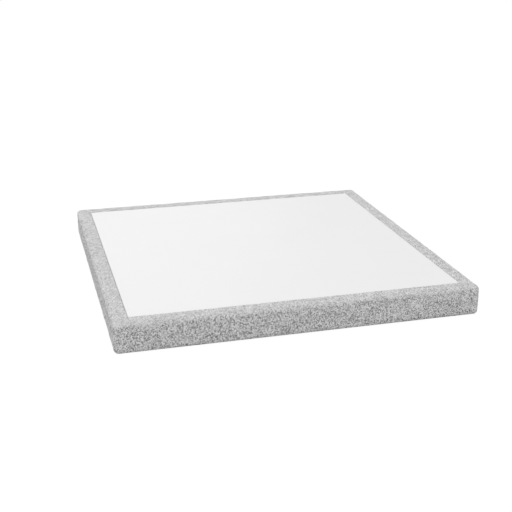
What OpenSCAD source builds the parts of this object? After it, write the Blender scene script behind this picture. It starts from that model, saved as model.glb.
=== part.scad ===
// Fabric-wrapped acoustic wall panel, lying on its fabric face.
// A rounded absorber slab is wrapped in one sheet of grey felt-like fabric. The fabric turns
// over the upper edge, rolls down into a shallow rebate and is trapped there under the rim
// of a smooth white board.
// +Z is up, the origin is the centre of the underside, and lengths are in millimetres.

/* [Panel] */
// Outside length and width over the fabric
panel_side = 600; // [300:5:900]
// Outside thickness over the fabric
panel_thickness = 50; // [40:1:80]
// Radius of the four standing corners, seen from above
corner_radius = 8; // [8:0.5:20]
// Radius rolled along the edges of both faces
edge_radius = 7; // [4:0.5:8]

/* [Fabric wrap] */
// Thickness of the fabric
fabric_thickness = 1.5; // [1:0.1:2.5]
// Width of the fabric border that shows round the board
border_width = 26; // [20:1:60]
// Radius over which the fabric turns down to the board
lip_radius = 2.5; // [2.5:0.5:5]
// Width of the fabric trapped under the rim of the board
tuck_width = 12; // [5:1:25]

/* [Inset board] */
// Thickness of the board
board_thickness = 4; // [3:0.5:8]
// Depth of the board's face below the fabric
board_recess = 1; // [0:0.1:2]
// Radius of the board's corners, seen from above
board_corner_radius = 2; // [1:0.5:6]
// Radius that eases the board's edges
board_ease = 0.4; // [0.3:0.1:0.9]

/* [Fits] */
// Gap between the board's edge and the fabric lip
board_gap = 0.3; // [0.1:0.1:1]
// Gap between the fabric and the absorber core
core_gap = 0.2; // [0.1:0.1:0.5]

/* [Hidden] */

fabric_grey = [0.70, 0.70, 0.70];
core_white = [0.88, 0.88, 0.85];
board_white = [0.95, 0.95, 0.95];

pocket_side = panel_side - 2 * border_width;
pocket_corner_radius = board_corner_radius + board_gap;
board_top = panel_thickness - board_recess;
board_seat = board_top - board_thickness;
tuck_opening = pocket_side - 2 * tuck_width;
overcut = 5; // how far a cutting shape runs past the face that it opens

$fn = 96;

// Sweeps a section round a square that has round corners. The section's x runs outwards
// from the corner centres, so the outer wall lies at x = radius.
module around_square(side, radius) {
    straight = side - 2 * radius;
    for (turn = [0:90:270])
        rotate(turn)
            translate([straight / 2, straight / 2, 0]) {
                rotate_extrude(angle = 90) children();
                rotate([90, 0, 0]) linear_extrude(height = straight) children();
            }
}

// Middle block that a swept edge is built on to.
module middle_block(side, radius, height) {
    straight = side - 2 * radius;
    translate([-straight / 2, -straight / 2, 0]) cube([straight, straight, height]);
}

// Edge of a slab: a rectangle with its two outer corners rounded.
module slab_edge_section(depth, height, edge) {
    square([depth - edge, height]);
    translate([0, edge]) square([depth, height - 2 * edge]);
    intersection() {
        square([depth, height]);
        for (level = [edge, height - edge])
            translate([depth - edge, level]) circle(edge);
    }
}

// Square slab on the plane z = 0, with round corners and rolled edges.
module rolled_slab(side, height, radius, edge) {
    middle_block(side, radius, height);
    around_square(side, radius) slab_edge_section(radius, height, edge);
}

// Wall of a pocket that flares out over the lip where it reaches its mouth.
module pocket_wall_section(radius, depth, lip) {
    square([radius, depth + overcut]);
    difference() {
        translate([0, depth - lip]) square([radius + lip, lip + overcut]);
        translate([radius + lip, depth - lip]) circle(lip);
    }
}

// Cutting shape for a square pocket, with its floor at z = 0 and its mouth at z = depth.
module flared_pocket(side, depth, radius, lip) {
    middle_block(side, radius, depth + overcut);
    around_square(side, radius) pocket_wall_section(radius, depth, lip);
}

// Inner surface of the fabric, drawn in by inset: a rolled slab with a rebate for the
// tucked fabric and a plateau that carries the middle of the board.
module core_form(inset) {
    skin = fabric_thickness + inset;
    rebate_floor = board_seat - skin;
    plateau = tuck_opening - 2 * inset;
    difference() {
        translate([0, 0, skin])
            rolled_slab(panel_side - 2 * skin, panel_thickness - 2 * skin,
                        corner_radius - skin, edge_radius - skin);
        difference() {
            translate([0, 0, rebate_floor])
                flared_pocket(pocket_side + 2 * skin, panel_thickness - skin - rebate_floor,
                              pocket_corner_radius + skin, lip_radius - skin);
            translate([-plateau / 2, -plateau / 2, 0])
                cube([plateau, plateau, board_seat - inset]);
        }
    }
}

module absorber_core() {
    color(core_white) core_form(core_gap);
}

module fabric_wrap() {
    color(fabric_grey)
        difference() {
            rolled_slab(panel_side, panel_thickness, corner_radius, edge_radius);
            core_form(0);
            translate([0, 0, board_seat])
                flared_pocket(pocket_side, panel_thickness - board_seat,
                              pocket_corner_radius, lip_radius);
            translate([-tuck_opening / 2, -tuck_opening / 2, board_seat - fabric_thickness])
                cube([tuck_opening, tuck_opening, fabric_thickness + overcut]);
        }
}

module inset_board() {
    color(board_white)
        translate([0, 0, board_seat])
            rolled_slab(pocket_side - 2 * board_gap, board_thickness,
                        board_corner_radius, board_ease);
}

absorber_core();
fabric_wrap();
inset_board();
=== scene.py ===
"""A square acoustic wall panel that lies on its cloth face.

Heathered cloth is stretched round a fibre core, turned over the back as a border and tucked under a smooth
white board, which is let into the back and looks up. Everything is in metres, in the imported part's frame.
"""

import math

import bmesh
import bpy
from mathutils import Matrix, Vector


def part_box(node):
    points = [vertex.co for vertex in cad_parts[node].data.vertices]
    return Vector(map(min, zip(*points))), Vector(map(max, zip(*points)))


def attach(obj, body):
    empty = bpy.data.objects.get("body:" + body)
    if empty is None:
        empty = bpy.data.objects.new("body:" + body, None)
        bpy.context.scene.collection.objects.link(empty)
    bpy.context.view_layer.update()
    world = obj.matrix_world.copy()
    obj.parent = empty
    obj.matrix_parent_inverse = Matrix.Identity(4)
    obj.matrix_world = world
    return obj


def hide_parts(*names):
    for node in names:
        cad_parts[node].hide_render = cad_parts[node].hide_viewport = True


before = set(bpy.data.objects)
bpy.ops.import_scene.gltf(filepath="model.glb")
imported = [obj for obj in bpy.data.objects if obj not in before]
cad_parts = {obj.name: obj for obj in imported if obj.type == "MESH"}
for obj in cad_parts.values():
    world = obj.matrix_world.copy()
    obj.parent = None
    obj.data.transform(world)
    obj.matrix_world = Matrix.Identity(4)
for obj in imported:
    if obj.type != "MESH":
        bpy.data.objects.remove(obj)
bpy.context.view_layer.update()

WRAP_LOW, WRAP_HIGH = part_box("fabric_wrap")
CORE_LOW, CORE_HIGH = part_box("absorber_core")
BOARD_LOW, BOARD_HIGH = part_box("inset_board")

# The cloth and how it is stretched. These repeat the sizes of the part's source.
HALF = WRAP_HIGH.x
TOP = WRAP_HIGH.z
CLOTH_THICKNESS = 0.0015
CORNER_RADIUS = 0.008
EDGE_RADIUS = 0.007
LIP_RADIUS = 0.0025
BOARD_GAP = 0.0003
POCKET_HALF = BOARD_HIGH.x + BOARD_GAP
POCKET_CORNER = 0.0023
TUCK_WIDTH = 0.012

# The tucked strip lies this much lower than in the part, clear of the board's underside.
TUCK_DROP = 0.00005
TUCK_LEVEL = BOARD_LOW.z - TUCK_DROP

# The width of the flat cut, and lengths of cloth along its section: half of the flat face, a rolled edge
# and a standing side.
FLAT_HALF = HALF - EDGE_RADIUS
ROLL_LENGTH = EDGE_RADIUS * math.pi / 2
SIDE_LENGTH = TOP - 2 * EDGE_RADIUS

# The grid of the cloth's mesh.
CORNER_STEPS = 6
EDGE_STEPS = 6
LIP_STEPS = 4
SIDE_CUTS = 13
BORDER_CUTS = 6
LENGTH_CUTS = 14

# The level edges are cut in two rounds. Each round cuts those that are longer than its length.
LONG_EDGES = (HALF, HALF / 10)

# The rounded edge of the core where the cloth turns down into the pocket.
SHOULDER_RADIUS = 0.0015
SHOULDER_STEPS = 3

# Places closer than a hair are the same, and a face whose normal is this upright is level.
HAIR = 1e-5
LEVEL_NORMAL = 0.99

# Edges that turn by less than these degrees are shaded smooth.
CLOTH_SMOOTH_ANGLE = 40
CORE_SMOOTH_ANGLE = 30

# The cloth is tight up to a height above the floor and up to a margin round the pocket. Its slack comes in
# over the run that follows.
TIGHT_HEIGHT = 0.0008
HEIGHT_RUN = 0.004
TIGHT_MARGIN = 0.002
MARGIN_RUN = 0.006

# The clouds that move the slack cloth: size, depth of detail, and the whole way from in to out.
UNEVENNESS = {"soft_waves": (0.030, 1, 0.0010), "small_lumps": (0.006, 2, 0.0007)}


# Modelling helpers


def put_down():
    """Leaves edit mode, with nothing selected."""
    if bpy.context.object and bpy.context.object.mode != "OBJECT":
        bpy.ops.object.mode_set(mode="OBJECT")
    bpy.ops.object.select_all(action="DESELECT")


def pick_up(piece):
    """Makes a piece the only one that is selected."""
    put_down()
    piece.select_set(True)
    bpy.context.view_layer.objects.active = piece


def block(name, low, high):
    """A block between two corners, open for editing."""
    put_down()
    bpy.ops.mesh.primitive_cube_add(size=1, location=(low + high) / 2, scale=high - low)
    piece = bpy.context.object
    piece.name = name
    piece.data.name = name
    bpy.ops.object.transform_apply(location=True, rotation=True, scale=True)
    bpy.ops.object.mode_set(mode="EDIT")
    return piece


def pick_edges(piece, wanted):
    """Selects the edges whose two ends pass a test."""
    bpy.ops.mesh.select_mode(type="EDGE")
    bpy.ops.mesh.select_all(action="DESELECT")
    mesh = bmesh.from_edit_mesh(piece.data)
    for edge in mesh.edges:
        if wanted(edge.verts[0].co, edge.verts[1].co):
            edge.select_set(True)
    bmesh.update_edit_mesh(piece.data)


def pick_faces(piece, wanted):
    """Selects the faces whose middle and normal pass a test."""
    bpy.ops.mesh.select_mode(type="FACE")
    bpy.ops.mesh.select_all(action="DESELECT")
    mesh = bmesh.from_edit_mesh(piece.data)
    for face in mesh.faces:
        if wanted(face.calc_center_median(), face.normal):
            face.select_set(True)
    bmesh.update_edit_mesh(piece.data)


def reach(point):
    """How far out from the middle a point is, along the nearer side's direction."""
    return max(abs(point.x), abs(point.y))


def upright(a, b):
    """Whether an edge stands up."""
    return abs(a.z - b.z) > HAIR and abs(a.x - b.x) < HAIR and abs(a.y - b.y) < HAIR


def edge_at(*levels):
    """A test for edges that lie at one of some levels."""
    return lambda a, b: any(abs(a.z - level) < HAIR and abs(b.z - level) < HAIR for level in levels)


def rim_at(level, half):
    """A test for edges that lie at a level, inside or on a square of that half width."""
    return lambda a, b: edge_at(level)(a, b) and max(reach(a), reach(b)) < half + HAIR


def lid_at(level):
    """A test for the faces that close a form at its highest level."""
    return lambda middle, normal: middle.z > level - HAIR and normal.z > LEVEL_NORMAL


def round_off(radius, steps):
    """Rounds the selected edges."""
    bpy.ops.mesh.bevel(offset=radius, segments=steps, profile=0.5, affect="EDGES")


def draw_in(half_before, half_after):
    """Extrudes the selected loop or face, and draws it in towards the middle."""
    share = half_after / half_before
    bpy.ops.mesh.extrude_region_move()
    bpy.ops.transform.resize(value=(share, share, 1), center_override=(0, 0, 0))


def push(distance):
    """Extrudes the selected loop or face up or down."""
    bpy.ops.mesh.extrude_region_move(TRANSFORM_OT_translate={"value": (0, 0, distance)})


def cut_long_edges(piece, longest, cuts):
    """Cuts the level edges that are longer than a length."""
    pick_edges(piece, lambda a, b: abs(a.z - b.z) < HAIR and (a - b).length > longest)
    bpy.ops.mesh.subdivide(number_cuts=cuts)


def turn_outwards():
    """Makes every face of the open piece look outwards, and leaves edit mode."""
    bpy.ops.mesh.select_all(action="SELECT")
    bpy.ops.mesh.normals_make_consistent(inside=False)
    put_down()


def apply_all(piece):
    """Applies a piece's modifiers in their order."""
    pick_up(piece)
    for name in [m.name for m in piece.modifiers]:
        bpy.ops.object.modifier_apply(modifier=name)


def smooth(piece, degrees):
    """Shades a piece smooth, apart from the edges that turn by more than an angle."""
    pick_up(piece)
    bpy.ops.object.shade_smooth_by_angle(angle=math.radians(degrees))
    put_down()


# The cloth


def wrap_form():
    """The outer skin of the cloth: the face, the sides, the border and the tuck under the board."""
    cloth = block("cloth_wrap", WRAP_LOW, WRAP_HIGH)
    pick_edges(cloth, upright)
    round_off(CORNER_RADIUS, CORNER_STEPS)
    pick_edges(cloth, edge_at(0, TOP))
    round_off(EDGE_RADIUS, EDGE_STEPS)
    pick_faces(cloth, lid_at(TOP))
    bpy.ops.mesh.delete(type="FACE")
    pick_faces(cloth, lambda middle, normal: middle.z < HAIR and normal.z < -LEVEL_NORMAL)
    draw_in(FLAT_HALF, FLAT_HALF - EDGE_RADIUS)

    # The pocket's wall starts too low by half the panel's thickness, and is lifted once it is joined on.
    sunk = Vector((0, 0, -TOP / 2))
    pocket_low = Vector((-POCKET_HALF, -POCKET_HALF, TUCK_LEVEL)) + sunk
    pocket = block("pocket", pocket_low, Vector((POCKET_HALF, POCKET_HALF, TOP)) + sunk)
    pick_edges(pocket, upright)
    round_off(POCKET_CORNER, CORNER_STEPS)
    pick_faces(pocket, lambda middle, normal: abs(normal.z) > LEVEL_NORMAL)
    bpy.ops.mesh.delete(type="FACE")
    pick_up(cloth)
    pocket.select_set(True)
    bpy.ops.object.join()

    bpy.ops.object.mode_set(mode="EDIT")
    pick_edges(cloth, edge_at(TOP, TOP + sunk.z))
    bpy.ops.mesh.bridge_edge_loops()
    pick_faces(cloth, lambda middle, normal: HAIR < middle.z < TOP and reach(middle) < POCKET_HALF + HAIR)
    bpy.ops.transform.translate(value=-sunk)
    pick_edges(cloth, edge_at(TUCK_LEVEL))
    draw_in(POCKET_HALF, POCKET_HALF - TUCK_WIDTH)
    pick_edges(cloth, rim_at(TOP, POCKET_HALF))
    round_off(LIP_RADIUS, LIP_STEPS)

    pick_edges(cloth, lambda a, b: abs(a.z - b.z) > TOP / 2)
    bpy.ops.mesh.subdivide(number_cuts=SIDE_CUTS)
    flat_border = FLAT_HALF - POCKET_HALF - LIP_RADIUS
    pick_edges(cloth, lambda a, b: edge_at(TOP)(a, b) and abs(reach(a) - reach(b)) > flat_border / 2)
    bpy.ops.mesh.subdivide(number_cuts=BORDER_CUTS)
    for longest in LONG_EDGES:
        cut_long_edges(cloth, longest, LENGTH_CUTS)
    turn_outwards()
    return cloth


def run_to(distance, level):
    """How much cloth lies between the middle of its face and a point of its section."""
    if level < EDGE_RADIUS:
        turn = math.atan2(max(0.0, distance - FLAT_HALF), EDGE_RADIUS - level)
        return FLAT_HALF + EDGE_RADIUS * turn
    if level <= TOP - EDGE_RADIUS:
        return FLAT_HALF + ROLL_LENGTH + level - EDGE_RADIUS
    if distance > FLAT_HALF:
        turn = math.atan2(level - (TOP - EDGE_RADIUS), distance - FLAT_HALF)
        return FLAT_HALF + ROLL_LENGTH + SIDE_LENGTH + EDGE_RADIUS * turn
    return 2 * FLAT_HALF + 2 * ROLL_LENGTH + SIDE_LENGTH - distance + TOP - level


def unfolded(point, middle):
    """Where a point of the outer skin lies on the flat cloth.

    The middle of its face says which flap of the cloth it is on.
    """
    if middle.z < HAIR:
        return Vector((point.x, point.y))
    along_x = abs(middle.x) > abs(middle.y)
    out, beside = (point.x, point.y) if along_x else (point.y, point.x)
    distance = abs(out)
    straight = HALF - CORNER_RADIUS
    past_out = max(0.0, distance - straight)
    past_beside = max(0.0, abs(beside) - straight)
    if past_out and past_beside:
        distance = straight + math.hypot(past_beside, past_out)
        around = straight + CORNER_RADIUS * math.atan2(past_beside, past_out)
        beside = math.copysign(around, beside)
    length = math.copysign(run_to(distance, point.z), out)
    return Vector((length, beside) if along_x else (beside, length))


def lay_threads(cloth):
    """Gives the cloth a UV map that is its place on the flat cut, in metres."""
    flat = cloth.data.uv_layers.new(name="threads")
    for face in cloth.data.polygons:
        for corner in face.loop_indices:
            point = cloth.data.vertices[cloth.data.loops[corner].vertex_index].co
            flat.data[corner].uv = unfolded(point, face.center)


def grown(value, start, run):
    """A share that grows from 0 at a start to 1 at the end of a run, and stays so beyond them."""
    return min(1.0, max(0.0, (value - start) / run))


def slack_at(point):
    """How far the cloth may stand off its form at a point, from 0 to 1."""
    above_floor = grown(point.z, TIGHT_HEIGHT, HEIGHT_RUN)
    from_pocket = grown(reach(point) - POCKET_HALF, TIGHT_MARGIN, MARGIN_RUN)
    return above_floor * from_pocket


def add_unevenness(cloth, name, size, depth_with_painted_shade, strength):
    """Moves the slack cloth in and out by clouds of one size."""
    cloud = bpy.data.textures.new(name, "CLOUDS")
    cloud.noise_scale = size
    cloud.noise_depth = depth_with_painted_shade
    relief = cloth.modifiers.new(name, "DISPLACE")
    relief.texture = cloud
    relief.texture_coords = "LOCAL"
    relief.mid_level = 0.5
    relief.strength = strength
    relief.vertex_group = "slack"


def make_wrap():
    """The cloth with its threads, its slack and its thickness."""
    cloth = wrap_form()
    lay_threads(cloth)
    slack = cloth.vertex_groups.new(name="slack")
    for vertex in cloth.data.vertices:
        slack.add([vertex.index], slack_at(vertex.co), "REPLACE")
    for name, (size, depth_with_painted_shade, strength) in UNEVENNESS.items():
        add_unevenness(cloth, name, size, depth_with_painted_shade, strength)
    thickness = cloth.modifiers.new("thickness", "SOLIDIFY")
    thickness.thickness = CLOTH_THICKNESS
    thickness.offset = -1
    apply_all(cloth)
    smooth(cloth, CLOTH_SMOOTH_ANGLE)
    return cloth


# The core


def make_core():
    """The fibre block inside, stepped at the top to take the tuck and the board."""
    core = block("fibre_core", CORE_LOW, CORE_HIGH)
    clearance = CORE_LOW.z
    pick_edges(core, upright)
    round_off(CORNER_RADIUS - clearance, CORNER_STEPS)
    pick_edges(core, edge_at(CORE_LOW.z, CORE_HIGH.z))
    round_off(EDGE_RADIUS - clearance, EDGE_STEPS)
    lid_half = CORE_HIGH.x - (EDGE_RADIUS - clearance)
    step_half = POCKET_HALF + clearance
    rise_half = POCKET_HALF - TUCK_WIDTH - clearance
    ledge = TUCK_LEVEL - clearance
    pick_faces(core, lid_at(CORE_HIGH.z))
    draw_in(lid_half, step_half)
    push(ledge - CORE_HIGH.z)
    draw_in(step_half, rise_half)
    push(CLOTH_THICKNESS)
    pick_edges(core, rim_at(CORE_HIGH.z, step_half))
    round_off(SHOULDER_RADIUS, SHOULDER_STEPS)
    turn_outwards()
    smooth(core, CORE_SMOOTH_ANGLE)
    return core


# Finishes

# The yarn's spacing, and how far it wanders and frays on the flat cloth.
YARN = 0.0017
YARN_WANDER = 0.0020
YARN_FRAY = 0.0014
FIBRES_PER_YARN = 4

# How far apart in the noise two yarns that lie side by side are read, and where each set of yarns is read.
NEXT_YARN = 7.3
WARP_PLACE = 0.0
WEFT_PLACE = 9.7

# Where two yarns cross, one gives way to the other within this much of the crossing's edge. A power under 1
# makes each crossing round on top and steep at its edge.
CROSSING_BLEND = 0.1
CROSSING_POWER = 0.5

# How many clouds of each pattern there are to a metre. A slub is longer along its yarn than across it.
WANDER_CLOUDS = 30
FRAY_CLOUDS = 1300
SPECK_CLOUDS = 300
PATCH_CLOUDS = 100
SLUB_CLOUDS_ALONG = 50
SLUB_CLOUDS_ACROSS = 130

# The cloth's middle brightness and its limits, and the weight of each pattern in it. Patches also raise and
# lower the yarns' contrast.
CLOTH_TONE = 0.65
DARKEST_TONE = 0.15
PALEST_TONE = 0.95
YARN_SHARE = 0.60
FIBRE_SHARE = 0.26
# Painted shade: each crossing is paler on top and darker towards the gaps between the yarns.
GAP_SHADE_SHARE = 0.15
PATCH_SHARE = 0.05
SLUB_SHARE = 0.18
PATCH_CONTRAST = 0.35

# The border that looks up is painted a little paler than the sides, and its pattern is evened out there.
# This is painted light on the top, and the sides keep the deeper pattern as painted shade between the
# yarns.
TOP_PAINTED_LIGHT = 0.05
TOP_PAINTED_CALM = 0.45
PAINTED_TOP_FROM = TOP - 1.2 * EDGE_RADIUS
PAINTED_TOP_FULLY = TOP - 0.6 * EDGE_RADIUS

# How far a noise has to swing from 0.5 to count as full.
FINE_SWING = 0.15
BROAD_SWING = 0.20
FULL_SWING = 0.50

# A noise that covers a range of tones or of roughness reaches its ends at these values.
NOISE_ENDS = (0.3, 0.7)

# The weave's relief: the weight of each pattern beside the round crossings, and how high it all stands.
# The surface itself is rough, with little shine.
SPECK_HEIGHT = 0.6
FIBRE_HEIGHT = 0.4
PATCH_HEIGHT = 0.6
WEAVE_RELIEF = 0.0003
CLOTH_ROUGHNESS = 0.95
CLOTH_SPECULAR = 0.15

# The board: its clouds and grains to a metre, the ranges of brightness and roughness that they cover, and
# its relief.
BOARD_CLOUDS = 9
BOARD_TONES = (0.90, 0.91)
BOARD_GRAINS = 900
BOARD_ROUGHNESS = (0.42, 0.5)
BOARD_BUMP = 0.05
BOARD_RELIEF = 0.00005

# The core: how its strands are stretched, how many there are to a metre, their brightness and relief.
STRAND_STRETCH = (1, 0.3, 3)
STRANDS = 400
STRAND_TONES = (0.35, 0.8)
STRAND_BUMP = 0.6
STRAND_RELIEF = 0.001


class Finish:
    """A material and its nodes, with short calls for the kinds of node that repeat."""

    def __init__(self, name):
        self.material = bpy.data.materials.new(name)
        self.material.use_nodes = True
        self.tree = self.material.node_tree
        self.shader = self.tree.nodes["Principled BSDF"]

    def add(self, kind, **settings):
        """A new node of a kind, with its settings."""
        node = self.tree.nodes.new(kind)
        for name, value in settings.items():
            setattr(node, name, value)
        return node

    def feed(self, socket, value):
        """Puts a number, a vector or another node's output into a socket."""
        if isinstance(value, bpy.types.NodeSocket):
            self.tree.links.new(value, socket)
        else:
            socket.default_value = value

    def fed(self, kind, values, **settings):
        """The outputs of a new node whose first inputs take these values."""
        node = self.add(kind, **settings)
        for socket, value in zip(node.inputs, values):
            self.feed(socket, value)
        return node.outputs

    def maths(self, operation, *values):
        """An operation on numbers."""
        return self.fed("ShaderNodeMath", values, operation=operation)[0]

    def vector(self, operation, *values):
        """An operation on places."""
        return self.fed("ShaderNodeVectorMath", values, operation=operation)[0]

    def axes(self, place):
        """The three numbers of a place."""
        return self.fed("ShaderNodeSeparateXYZ", [place])

    def joined(self, *values):
        """A place made of three numbers."""
        return self.fed("ShaderNodeCombineXYZ", values)[0]

    def between(self, value, low, high, to_low, to_high):
        """A value spread from one range to another, and held within it."""
        return self.fed("ShaderNodeMapRange", (value, low, high, to_low, to_high))[0]

    def mixed(self, share, first, second):
        """Goes from the first value to the second as share goes from 0 to 1."""
        step = self.maths("SUBTRACT", second, first)
        return self.maths("ADD", first, self.maths("MULTIPLY", step, share))

    def weighed(self, start, *parts):
        """A start value plus each part times its weight."""
        total = start
        for value, weight in parts:
            total = self.maths("ADD", total, self.maths("MULTIPLY", value, weight))
        return total

    def object_place(self):
        """The place of a point in the object's own frame."""
        return self.add("ShaderNodeTexCoord").outputs["Object"]

    def stretched(self, place, scale):
        """A place with each of its numbers multiplied."""
        node = self.add("ShaderNodeMapping")
        self.feed(node.inputs["Vector"], place)
        node.inputs["Scale"].default_value = scale
        return node.outputs["Vector"]

    def stirred(self, place, per_metre, distance):
        """A place on the flat cloth, moved about by clouds of a size, up to half a distance each way."""
        node = self.add("ShaderNodeTexNoise")
        self.feed(node.inputs["Vector"], place)
        node.inputs["Scale"].default_value = per_metre
        centred = self.vector("SUBTRACT", node.outputs["Color"], (0.5, 0.5, 0.5))
        return self.vector("ADD", place, self.vector("MULTIPLY", centred, (distance, distance, 0)))

    def noise(self, place, per_metre=1.0, detail=2.0, rough=0.6):
        """Clouds of one size, as a value that hangs about 0.5."""
        node = self.add("ShaderNodeTexNoise")
        self.feed(node.inputs["Vector"], place)
        node.inputs["Scale"].default_value = per_metre
        node.inputs["Detail"].default_value = detail
        node.inputs["Roughness"].default_value = rough
        return node.outputs["Fac"]

    def swing(self, noise, spread):
        """A noise that hangs about 0.5, as a value from -1 to 1 that reaches its ends at that spread."""
        return self.between(noise, 0.5 - spread, 0.5 + spread, -1.0, 1.0)

    def clouds(self, place, per_metre, spread):
        """Clouds of one size, as a value from -1 to 1."""
        return self.swing(self.noise(place, per_metre), spread)

    def covering(self, noise, ends):
        """A noise spread over a range."""
        return self.between(noise, *NOISE_ENDS, *ends)

    def paint(self, tone):
        """Makes the surface a neutral grey of that brightness."""
        node = self.add("ShaderNodeCombineColor")
        for channel in ("Red", "Green", "Blue"):
            self.feed(node.inputs[channel], tone)
        self.feed(self.shader.inputs["Base Color"], node.outputs["Color"])

    def bump(self, height, strength, distance):
        """Gives the surface a fine relief."""
        node = self.add("ShaderNodeBump")
        node.inputs["Strength"].default_value = strength
        node.inputs["Distance"].default_value = distance
        self.feed(node.inputs["Height"], height)
        self.feed(self.shader.inputs["Normal"], node.outputs["Normal"])


def yarn_look(finish, across, along, set_place):
    """Tone and fibres of one set of yarns. Both run along a yarn, and each yarn has its own."""
    number = finish.maths("MULTIPLY", finish.maths("FLOOR", across), NEXT_YARN)
    tone = finish.noise(finish.joined(number, along, set_place), detail=1.0)
    strands = finish.maths("MULTIPLY", across, FIBRES_PER_YARN)
    fibres = finish.noise(finish.joined(strands, along, set_place))
    return finish.swing(tone, FINE_SWING), finish.swing(fibres, FINE_SWING)


def slubs_on(finish, laid):
    """Soft streaks along both sets of yarns."""
    along_weft = finish.stretched(laid, (SLUB_CLOUDS_ALONG, SLUB_CLOUDS_ACROSS, 1))
    along_warp = finish.stretched(laid, (SLUB_CLOUDS_ACROSS, SLUB_CLOUDS_ALONG, 1))
    weft_slubs = finish.clouds(along_weft, 1.0, BROAD_SWING)
    warp_slubs = finish.clouds(along_warp, 1.0, BROAD_SWING)
    return finish.maths("MULTIPLY", finish.maths("ADD", weft_slubs, warp_slubs), 0.5)


def heathered_cloth():
    """Plain weave of thick yarn, each yarn spun from pale and grey fibres."""
    finish = Finish("heathered_cloth")
    place = finish.object_place()
    flat = finish.add("ShaderNodeUVMap", uv_map="threads").outputs["UV"]
    laid = finish.stirred(finish.stirred(flat, WANDER_CLOUDS, YARN_WANDER), FRAY_CLOUDS, YARN_FRAY)

    counted = finish.axes(finish.vector("MULTIPLY", laid, (1 / YARN, 1 / YARN, 0)))
    warp_swell = finish.maths("SINE", finish.maths("MULTIPLY", counted["X"], math.pi))
    weft_swell = finish.maths("SINE", finish.maths("MULTIPLY", counted["Y"], math.pi))
    crossing = finish.maths("MULTIPLY", warp_swell, weft_swell)
    warp_on_top = finish.between(crossing, -CROSSING_BLEND, CROSSING_BLEND, 0.0, 1.0)
    raised = finish.maths("POWER", finish.maths("ABSOLUTE", crossing), CROSSING_POWER)

    warp_tone, warp_fibres = yarn_look(finish, counted["X"], counted["Y"], WARP_PLACE)
    weft_tone, weft_fibres = yarn_look(finish, counted["Y"], counted["X"], WEFT_PLACE)
    fibres = finish.mixed(warp_on_top, weft_fibres, warp_fibres)
    patches = finish.clouds(place, PATCH_CLOUDS, BROAD_SWING)
    contrast = finish.weighed(1.0, (patches, PATCH_CONTRAST))
    yarns = finish.maths("MULTIPLY", finish.mixed(warp_on_top, weft_tone, warp_tone), contrast)
    pattern = finish.weighed(
        0.0,
        (yarns, YARN_SHARE),
        (fibres, FIBRE_SHARE),
        # Painted shade between the yarns, from the round crossings.
        (finish.swing(raised, FULL_SWING), GAP_SHADE_SHARE),
        (patches, PATCH_SHARE),
        (slubs_on(finish, laid), SLUB_SHARE),
    )
    # Painted light and shade: the cloth is paler and calmer towards the top face, and deeper in pattern on
    # the sides.
    painted_top = finish.between(finish.axes(place)["Z"], PAINTED_TOP_FROM, PAINTED_TOP_FULLY, 0.0, 1.0)
    depth_with_painted_shade = finish.weighed(1.0, (painted_top, -TOP_PAINTED_CALM))
    tone = finish.weighed(CLOTH_TONE, (pattern, depth_with_painted_shade), (painted_top, TOP_PAINTED_LIGHT))
    finish.paint(finish.between(tone, DARKEST_TONE, PALEST_TONE, DARKEST_TONE, PALEST_TONE))
    finish.shader.inputs["Roughness"].default_value = CLOTH_ROUGHNESS
    finish.shader.inputs["Specular IOR Level"].default_value = CLOTH_SPECULAR
    specks = finish.clouds(place, SPECK_CLOUDS, FINE_SWING)
    height = finish.weighed(raised, (specks, SPECK_HEIGHT), (fibres, FIBRE_HEIGHT), (patches, PATCH_HEIGHT))
    finish.bump(height, 1.0, WEAVE_RELIEF)
    return finish.material


def satin_white():
    """Smooth white coating with a faint orange peel."""
    finish = Finish("satin_white")
    place = finish.object_place()
    cloudy = finish.noise(place, BOARD_CLOUDS, rough=0.5)
    finish.paint(finish.covering(cloudy, BOARD_TONES))
    grain = finish.noise(place, BOARD_GRAINS, detail=1.0, rough=0.5)
    finish.feed(finish.shader.inputs["Roughness"], finish.covering(grain, BOARD_ROUGHNESS))
    finish.bump(grain, BOARD_BUMP, BOARD_RELIEF)
    return finish.material


def pressed_fibre():
    """Pressed fibre, off-white with darker strands."""
    finish = Finish("pressed_fibre")
    place = finish.stretched(finish.object_place(), STRAND_STRETCH)
    strands = finish.noise(place, STRANDS, detail=4.0, rough=0.7)
    finish.paint(finish.covering(strands, STRAND_TONES))
    finish.shader.inputs["Roughness"].default_value = 1.0
    finish.bump(strands, STRAND_BUMP, STRAND_RELIEF)
    return finish.material


def dress(piece, material):
    """Gives a piece one material."""
    piece.data.materials.clear()
    piece.data.materials.append(material)


# The pieces

cloth = make_wrap()
dress(cloth, heathered_cloth())
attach(cloth, "root")
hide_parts("fabric_wrap")

core = make_core()
dress(core, pressed_fibre())
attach(core, "root")
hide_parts("absorber_core")

dress(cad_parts["inset_board"], satin_white())


# The studio

WHITE = (1, 1, 1, 1)

# The floor: how wide it is, how far it lies above the underside, its tone in the light that it gives back,
# how brightly it shows, and the share of the real surface in what shows, which carries the shadow.
FLOOR_SIZE = 60
FLOOR_RISE = 0.00005
FLOOR_TONE = 0.7
FLOOR_GLOW = 1.06
FLOOR_SHADOW = 0.1

# The light that comes from all round.
WORLD_LIGHT = 0.68

# The square lamps, which all look at the origin: place, width and watts.
LAMPS = {
    "above": ((-0.3, 0.3, 4.0), 3.0, 31),
    "left": ((-2.6, 0.2, 2.4), 2.4, 15),
    "front": ((0.6, -3.4, 1.2), 2.4, 11),
    "behind": ((0.0, 3.0, 1.2), 1.8, 6.3),
}

# The camera, as fitted to the photograph: focal length and sensor width in millimetres, place and degrees.
LENS = 67.31
SENSOR_WIDTH = 36
CAMERA_PLACE = (-0.4302, -1.6081, 0.6301)
CAMERA_TURN = (70.0502, 0.0197, -14.9821)


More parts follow.
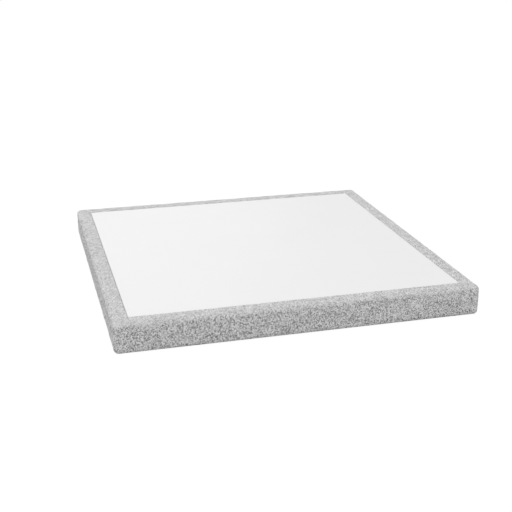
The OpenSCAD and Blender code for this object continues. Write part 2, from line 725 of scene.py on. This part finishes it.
def make_floor():
    """A plain pale floor. The camera sees it as white, and it keeps the panel's shadow.

    It lies just above the underside, so that a view from below shows the cloth.
    """
    put_down()
    bpy.ops.mesh.primitive_plane_add(size=FLOOR_SIZE, location=(0, 0, FLOOR_RISE))
    floor = bpy.context.object
    floor.name = "floor"
    finish = Finish("floor_white")
    finish.shader.inputs["Base Color"].default_value = (FLOOR_TONE, FLOOR_TONE, FLOOR_TONE, 1)
    finish.shader.inputs["Roughness"].default_value = 1.0
    finish.shader.inputs["Specular IOR Level"].default_value = 0.0
    seen = finish.add("ShaderNodeLightPath").outputs
    rays = finish.maths("MAXIMUM", seen["Is Camera Ray"], seen["Is Glossy Ray"])
    rays = finish.maths("MAXIMUM", rays, seen["Is Transmission Ray"])
    white = finish.add("ShaderNodeEmission")
    white.inputs["Strength"].default_value = FLOOR_GLOW
    glow_share = finish.maths("MULTIPLY", rays, 1 - FLOOR_SHADOW)
    mix = finish.fed("ShaderNodeMixShader", (glow_share, finish.shader.outputs[0], white.outputs[0]))
    finish.feed(finish.tree.nodes["Material Output"].inputs["Surface"], mix[0])
    floor.data.materials.append(finish.material)


def make_world():
    """Even soft light from all round, and plain white where the camera sees it."""
    world = bpy.data.worlds.new("studio")
    bpy.context.scene.world = world
    world.use_nodes = True
    tree = world.node_tree
    light = tree.nodes["Background"]
    light.inputs["Color"].default_value = WHITE
    light.inputs["Strength"].default_value = WORLD_LIGHT
    white = tree.nodes.new("ShaderNodeBackground")
    white.inputs["Color"].default_value = WHITE
    white.inputs["Strength"].default_value = 1.0
    seen = tree.nodes.new("ShaderNodeLightPath")
    either = tree.nodes.new("ShaderNodeMath")
    either.operation = "MAXIMUM"
    tree.links.new(seen.outputs["Is Camera Ray"], either.inputs[0])
    tree.links.new(seen.outputs["Is Transmission Ray"], either.inputs[1])
    mix = tree.nodes.new("ShaderNodeMixShader")
    tree.links.new(either.outputs[0], mix.inputs[0])
    tree.links.new(light.outputs[0], mix.inputs[1])
    tree.links.new(white.outputs[0], mix.inputs[2])
    tree.links.new(mix.outputs[0], tree.nodes["World Output"].inputs["Surface"])


def make_lamp(name, place, width, watts):
    """A square lamp that looks at the origin."""
    lamp = bpy.data.lights.new(name, "AREA")
    lamp.shape = "SQUARE"
    lamp.size = width
    lamp.energy = watts
    holder = bpy.data.objects.new(name, lamp)
    bpy.context.scene.collection.objects.link(holder)
    holder.location = place
    holder.rotation_euler = (Vector() - Vector(place)).to_track_quat("-Z", "Y").to_euler()


def make_camera():
    """The camera where the photograph was taken from."""
    camera = bpy.data.cameras.new("view")
    camera.lens = LENS
    camera.sensor_width = SENSOR_WIDTH
    holder = bpy.data.objects.new("view", camera)
    bpy.context.scene.collection.objects.link(holder)
    holder.location = CAMERA_PLACE
    holder.rotation_euler = [math.radians(turn) for turn in CAMERA_TURN]
    bpy.context.scene.camera = holder


make_floor()
make_world()
for name, (place, width, watts) in LAMPS.items():
    make_lamp(name, place, width, watts)
make_camera()
bpy.context.scene.view_settings.view_transform = "Standard"
